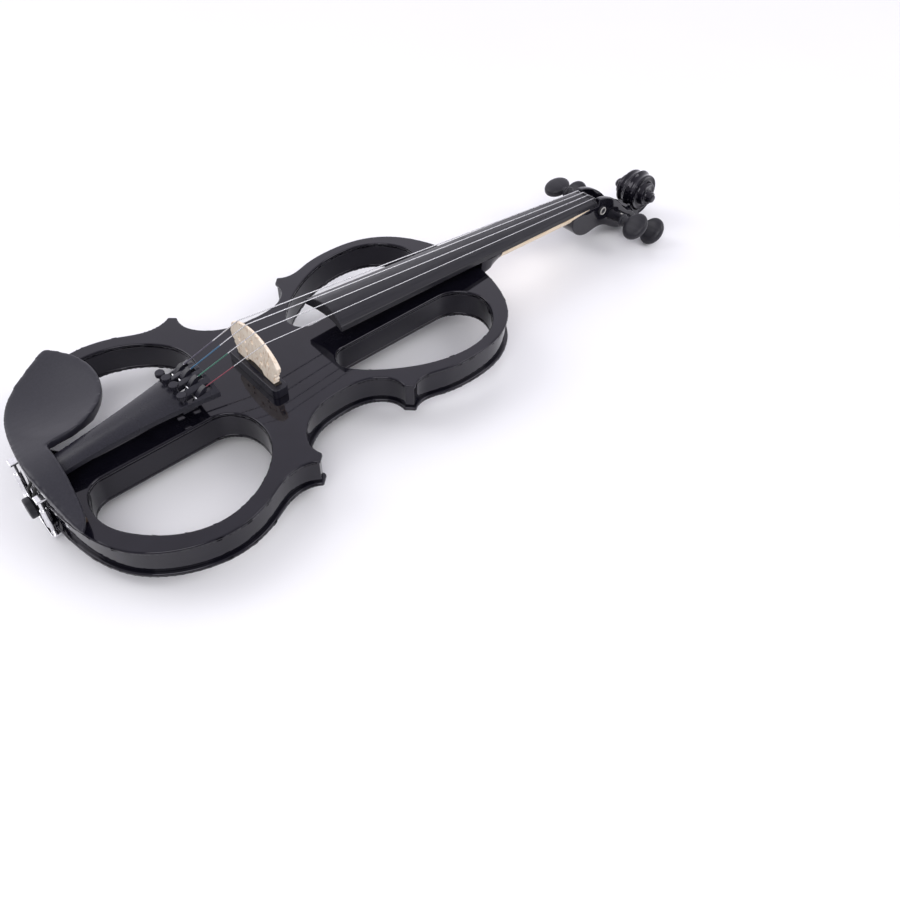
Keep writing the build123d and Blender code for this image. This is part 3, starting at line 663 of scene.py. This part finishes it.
# ---------------------------------------------------------------- the neck's lacquered heel and bare handle
# Places along the body, and the fingerboard's half width and lower face at its two ends, as in the CAD model.
HEEL_END = 374.0
HEEL_MIDDLE = 366.0
GRIP_START = 362.0
GRIP_END = 458.5
BOARD_START = 216.0
BOARD_LENGTH = 268.0
BOARD_HALF = (21.0, 12.0)
BOARD_LOW = (38.6, 20.2)
HEEL_DEEP = (15.5, 13.5)
HANDLE_DEEP = 13.0
POINTED = 1.5


def slim_grip(build):
    """Draw the grip in to a softly pointed section, so that less of it shows beside the fingerboard."""
    for vertex in build.verts:
        place = TO_BODY @ vertex.co
        if GRIP_START < place.y < GRIP_END:
            along = (place.y - BOARD_START) / BOARD_LENGTH
            deep = HANDLE_DEEP
            if place.y < HEEL_END:
                deep = mix(*HEEL_DEEP, (place.y - HEEL_MIDDLE) / (HEEL_END - HEEL_MIDDLE))
            share = within((mix(*BOARD_LOW, along) - place.z) / deep)
            slim = mix(*BOARD_HALF, along) * (1 - share ** POINTED) ** (1 / POINTED)
            ease = min(1.0, (place.y - GRIP_START) / (HEEL_END - GRIP_START))
            place.x = math.copysign(mix(abs(place.x), min(abs(place.x), slim), ease), place.x)
            vertex.co = TO_ROW @ place


def cut_neck(build, **cleared):
    """Slim the grip, cut the neck square where the black heel ends and drop one side."""
    slim_grip(build)
    everything = [*build.verts, *build.edges, *build.faces]
    place = TO_ROW @ Vector((0, HEEL_END, 0))
    along = (TO_ROW.to_3x3() @ Vector((0, 1, 0))).normalized()
    bmesh.ops.bisect_plane(build, geom=everything, plane_co=place, plane_no=along, **cleared)


def keep_handle(build):
    cut_neck(build, clear_inner=True)


def keep_heel(build):
    cut_neck(build, clear_outer=True)


# ---------------------------------------------------------------- putting the pieces in place
# How far the edges of each CAD node are rounded, in millimetres. The neck's are hardly rounded, so that its
# two pieces still meet where they are cut.
EDGES = {
    "top_plate": 1.1, "back_plate": 1.1, "body_core": 0.35, "fingerboard": 0.7, "nut": 0.4,
    "saddle": 0.6, "tailpiece": 0.5, "bridge": 0.35, "pickup_base": 0.3, "clamp_hooks": 0.5,
    "clamp_foot": 0.4, "clamp_barrel_left": 0.2, "clamp_barrel_right": 0.2, "control_plate": 0.25,
    "battery_door": 0.25, "chin_rest_corks": 0.3, "foot_corks": 0.3, "end_button": 0.2, "output_jack": 0.2,
    "headphone_jack": 0.2, "volume_knob": 0.15, "tone_knob": 0.15, "control_screws": 0.12,
}
for node_name, width in EDGES.items():
    soften(node_name, width)
soften("neck", 0.1, keep_handle)
settle(soft_copy("neck", "_heel_finish", 0.01, keep_heel), "violin", "black_lacquer", LACQUER)
make_chin_rest()
soften("battery", 0.3, lift_cell)
soften("head", 0.9, hollow_scroll)
make_scroll()
for name in NAMES:
    make_peg(name)
    make_silk(name)
    soften("tuner_lever_" + name, 0.25)
    soften("tuner_screw_" + name, 0.12)


# ---------------------------------------------------------------- stage, light and camera
def make_floor():
    """A white table, for the picture only."""
    size = 6.0
    mesh = bpy.data.meshes.new("floor")
    corners = [(-size, -size, 0), (size, -size, 0), (size, size, 0), (-size, size, 0)]
    mesh.from_pydata(corners, [], [(0, 1, 2, 3)])
    floor = bpy.data.objects.new("floor", mesh)
    bpy.context.collection.objects.link(floor)
    material, tree, shader = new_material("floor")
    tone = noise(tree, object_coords(tree), 3, 2)
    white = ramp(tree, tone, [(0.3, (0.86, 0.86, 0.88)), (0.7, (0.88, 0.88, 0.89))])
    tree.links.new(white, shader.inputs["Base Color"])
    shader.inputs["Roughness"].default_value = 0.35
    mesh.materials.append(material)


def make_light(name, place, width, power):
    """A square area light that faces the violin."""
    data = bpy.data.lights.new(name, "AREA")
    data.shape = "RECTANGLE"
    data.size = width
    data.size_y = width
    data.energy = power
    light = bpy.data.objects.new(name, data)
    bpy.context.collection.objects.link(light)
    light.location = place
    light.rotation_euler = (-Vector(place)).to_track_quat("-Z", "Y").to_euler()


FAR_SIDE = (-0.75, 0.66, 0.0)
ROOM_LIGHT = 0.8
ROOM_SWING = 0.4


def make_world():
    """A pale room, brighter behind the far side of the violin."""
    world = bpy.data.worlds.new("studio")
    world.use_nodes = True
    tree = world.node_tree
    background = tree.nodes["Background"]
    background.inputs["Color"].default_value = (0.94, 0.92, 1.0, 1)
    way = node(tree, "ShaderNodeTexCoord")
    towards = node(tree, "ShaderNodeVectorMath", operation="DOT_PRODUCT")
    towards.inputs[1].default_value = FAR_SIDE
    tree.links.new(way.outputs["Generated"], towards.inputs[0])
    strength = node(tree, "ShaderNodeMath", operation="MULTIPLY_ADD")
    strength.inputs[1].default_value = ROOM_SWING
    strength.inputs[2].default_value = ROOM_LIGHT
    tree.links.new(towards.outputs["Value"], strength.inputs[0])
    tree.links.new(strength.outputs["Value"], background.inputs["Strength"])
    bpy.context.scene.world = world


def make_camera():
    """The camera is held in the body's frame: an azimuth, an elevation, a roll, a target and a distance."""
    azimuth, elevation, roll = (math.radians(value) for value in (52.83, 46.62, -2.87))
    target = Vector((95.18, 192.81, 0.0))
    distance = 562.47
    level_reach = math.cos(elevation)
    back = Vector((math.sin(azimuth) * level_reach, -math.cos(azimuth) * level_reach, math.sin(elevation)))
    level = Vector((math.cos(azimuth), math.sin(azimuth), 0.0))
    above = back.cross(level)
    right = math.cos(roll) * level + math.sin(roll) * above
    up = -math.sin(roll) * level + math.cos(roll) * above
    turn = Matrix((right, up, back)).transposed()
    data = bpy.data.cameras.new("camera")
    data.sensor_width = 36.0
    data.lens = 34.6
    data.shift_x = 0.0709
    data.shift_y = -0.0019
    data.clip_start = 0.01
    camera = bpy.data.objects.new("camera", data)
    bpy.context.collection.objects.link(camera)
    place = TO_ROW @ (target + distance * back)
    camera.matrix_world = Matrix.Translation(place) @ (Matrix.Rotation(TILT, 3, "X") @ turn).to_4x4()
    bpy.context.scene.camera = camera


make_floor()
make_world()
make_light("front", (1.4, -1.5, 1.9), 1.6, 26)
make_light("left", (-1.7, -1.1, 1.7), 1.4, 16)
make_light("right", (1.7, 1.3, 1.7), 1.4, 18)
make_camera()
bpy.context.scene.view_settings.view_transform = "Standard"
